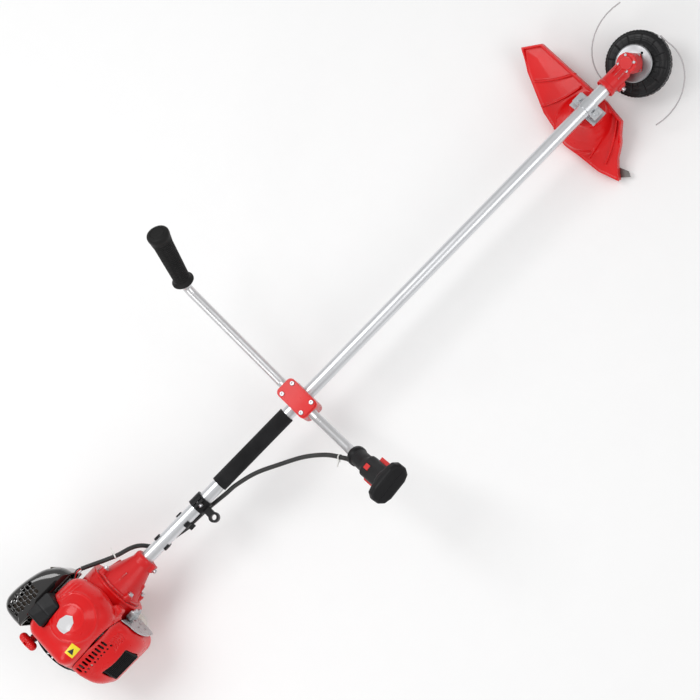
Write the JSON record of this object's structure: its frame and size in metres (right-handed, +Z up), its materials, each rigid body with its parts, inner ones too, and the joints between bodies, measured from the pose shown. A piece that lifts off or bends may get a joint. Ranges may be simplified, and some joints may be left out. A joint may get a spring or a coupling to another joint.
{
  "type": "brush cutter",
  "caption": "Petrol brush cutter: rear engine and clutch, straight drive tube with split handlebars, throttle grip, guard, angled gearcase and trimmer head with nylon line.",
  "frame": {"origin": "centre of the flat stand face under the fuel tank", "axes": "+X along the drive tube from the engine to the cutting head, +Y to the machine's left, +Z up; the tube axis lies in the plane Y=0, 120 mm above the stand face"},
  "size_m": [1.6552, 0.6415, 0.367],
  "materials": {
    "tube_aluminium": "satin anodised",
    "foam": "matt foam",
    "black_plastic": "moulded, fine grain",
    "black_gloss": "glossy",
    "red_plastic": "glossy moulded",
    "red_metal": "glossy paint",
    "steel": "zinc plated",
    "bright_steel": "bright",
    "cast_alu": "die cast",
    "rubber_grip": "matt",
    "cable": "corrugated",
    "nylon": "translucent",
    "ceramic": "glazed ceramic",
    "tank_plastic": "translucent",
    "friction": "friction lining",
    "muffler_steel": "heat-proof paint"
  },
  "bodies": {
    "frame": {"drive_tube": "tube_aluminium", "foam_sleeve": "foam", "harness_hanger": "black_plastic", "cable_clips": "black_plastic", "clamp_base": "red_metal", "clamp_saddle": "red_metal", "clamp_cap": "red_metal", "socket_screws": "bright_steel", "handlebar_left": "tube_aluminium", "handlebar_right": "tube_aluminium", "left_grip": "rubber_grip", "throttle_grip_upper": "black_plastic", "throttle_grip_lower": "black_plastic", "small_screws": "bright_steel", "cable_loom": "cable", "cable_ties": "nylon", "gearcase": "red_metal", "ball_bearings": "steel", "guard_bracket": "bright_steel", "hex_bolts": "bright_steel", "guard": "red_plastic", "line_cutter_blade": "steel", "shaft_bushings": "black_plastic", "clutch_housing": "red_metal", "crankcase": "cast_alu", "cylinder": "cast_alu", "spark_plug": "ceramic", "carburetor": "cast_alu", "air_filter_cover": "black_gloss", "muffler": "muffler_steel", "muffler_guard": "red_plastic", "top_cover": "red_plastic", "plug_cover": "black_plastic", "starter_housing": "black_plastic", "fuel_tank": "tank_plastic"},
    "head": {"output_shaft": "steel", "bevel_gear": "steel", "flange_adapter": "bright_steel", "head_housing": "black_plastic", "head_cover": "black_plastic", "trimmer_lines": "nylon"},
    "spool": {"spool": "red_plastic", "bump_spring": "steel"},
    "drive": {"drive_shaft": "steel", "input_pinion": "steel", "clutch_drum": "steel"},
    "crank": {"crankshaft": "steel", "flywheel_fan": "cast_alu"},
    "shoe_a": {"clutch_shoe_a": "friction"},
    "shoe_b": {"clutch_shoe_b": "friction"},
    "piston": {"piston": "cast_alu"},
    "trigger": {"throttle_trigger": "red_plastic"},
    "lockout": {"trigger_lockout": "red_plastic"},
    "stop_button": {"stop_switch": "red_plastic"},
    "carb_lever": {"carb_throttle_lever": "steel"},
    "choke": {"choke_lever": "black_plastic"},
    "primer": {"primer_bulb": "red_plastic"},
    "pull_handle": {"starter_handle": "red_plastic"},
    "starter_reel": {"starter_pulley": "black_plastic"},
    "tank_cap": {"fuel_cap": "black_plastic"}
  },
  "joints": [
    {"name": "head_spin", "type": "hinge", "parent": "frame", "child": "head", "pos_m": [1.476, 0, 0.12], "axis": [-0.4226, 0, 0.9063], "continuous": true},
    {"name": "drive_spin", "type": "hinge", "parent": "frame", "child": "drive", "pos_m": [0.59, 0, 0.12], "axis": [1, 0, 0], "continuous": true},
    {"name": "bump_feed", "type": "slide", "parent": "head", "child": "spool", "axis": [-0.4226, 0, 0.9063], "range_m": [0, 0.006], "stiffness_N_per_m": 900, "deforming": ["bump_spring"]},
    {"name": "crank_spin", "type": "hinge", "parent": "frame", "child": "crank", "pos_m": [0.59, 0, 0.12], "axis": [1, 0, 0], "continuous": true},
    {"name": "clutch_shoe_a_swing", "type": "hinge", "parent": "crank", "child": "shoe_a", "pos_m": [0.11, 0, 0.142], "axis": [1, 0, 0], "range_deg": [0, 3], "stiffness_Nm_per_rad": 8},
    {"name": "clutch_shoe_b_swing", "type": "hinge", "parent": "crank", "child": "shoe_b", "pos_m": [0.11, 0, 0.098], "axis": [1, 0, 0], "range_deg": [0, 3]},
    {"name": "piston_stroke", "type": "slide", "parent": "frame", "child": "piston", "axis": [0, 0, 1], "range_m": [-0.034, 0]},
    {"name": "throttle_squeeze", "type": "hinge", "parent": "frame", "child": "trigger", "pos_m": [0.61126, -0.21094, 0.25022], "axis": [0.0701, -0.685, -0.7251], "range_deg": [0, 14], "stiffness_Nm_per_rad": 0.6},
    {"name": "carb_throttle_turn", "type": "hinge", "parent": "frame", "child": "carb_lever", "pos_m": [0.06, 0.053, 0.17], "axis": [1, 0, 0], "range_deg": [0, 56]},
    {"name": "lockout_press", "type": "hinge", "parent": "frame", "child": "lockout", "pos_m": [0.59203, -0.23914, 0.27501], "axis": [0.0701, -0.685, -0.7251], "range_deg": [0, 8], "stiffness_Nm_per_rad": 0.6},
    {"name": "stop_press", "type": "slide", "parent": "frame", "child": "stop_button", "axis": [0.0701, -0.685, -0.7251], "range_m": [0, 0.003], "stiffness_N_per_m": 900},
    {"name": "choke_turn", "type": "hinge", "parent": "frame", "child": "choke", "pos_m": [0.027, 0.053, 0.17], "axis": [-1, 0, 0], "range_deg": [0, 40]},
    {"name": "primer_press", "type": "slide", "parent": "frame", "child": "primer", "axis": [0, 0, 1], "range_m": [0, 0.004], "stiffness_N_per_m": 800},
    {"name": "starter_pull", "type": "slide", "parent": "frame", "child": "pull_handle", "axis": [-0.6, 0, 0.8], "range_m": [0, 0.55], "stiffness_N_per_m": 12},
    {"name": "starter_reel_turn", "type": "hinge", "parent": "frame", "child": "starter_reel", "pos_m": [-0.05, 0, 0.12], "axis": [1, 0, 0], "range_deg": [0, 1130]},
    {"name": "fuel_cap_turn", "type": "hinge", "parent": "frame", "child": "tank_cap", "pos_m": [-0.048, 0.08, 0.03], "axis": [0, 1, 0], "range_deg": [0, 180]}
  ],
  "couplings": [
    {"joint": "drive_spin", "follows": "head_spin", "ratio": 1.3571},
    {"joint": "clutch_shoe_b_swing", "follows": "clutch_shoe_a_swing", "ratio": 1},
    {"joint": "carb_throttle_turn", "follows": "throttle_squeeze", "ratio": 4},
    {"joint": "starter_reel_turn", "follows": "starter_pull", "rad_per_m": 33.333}
  ]
}
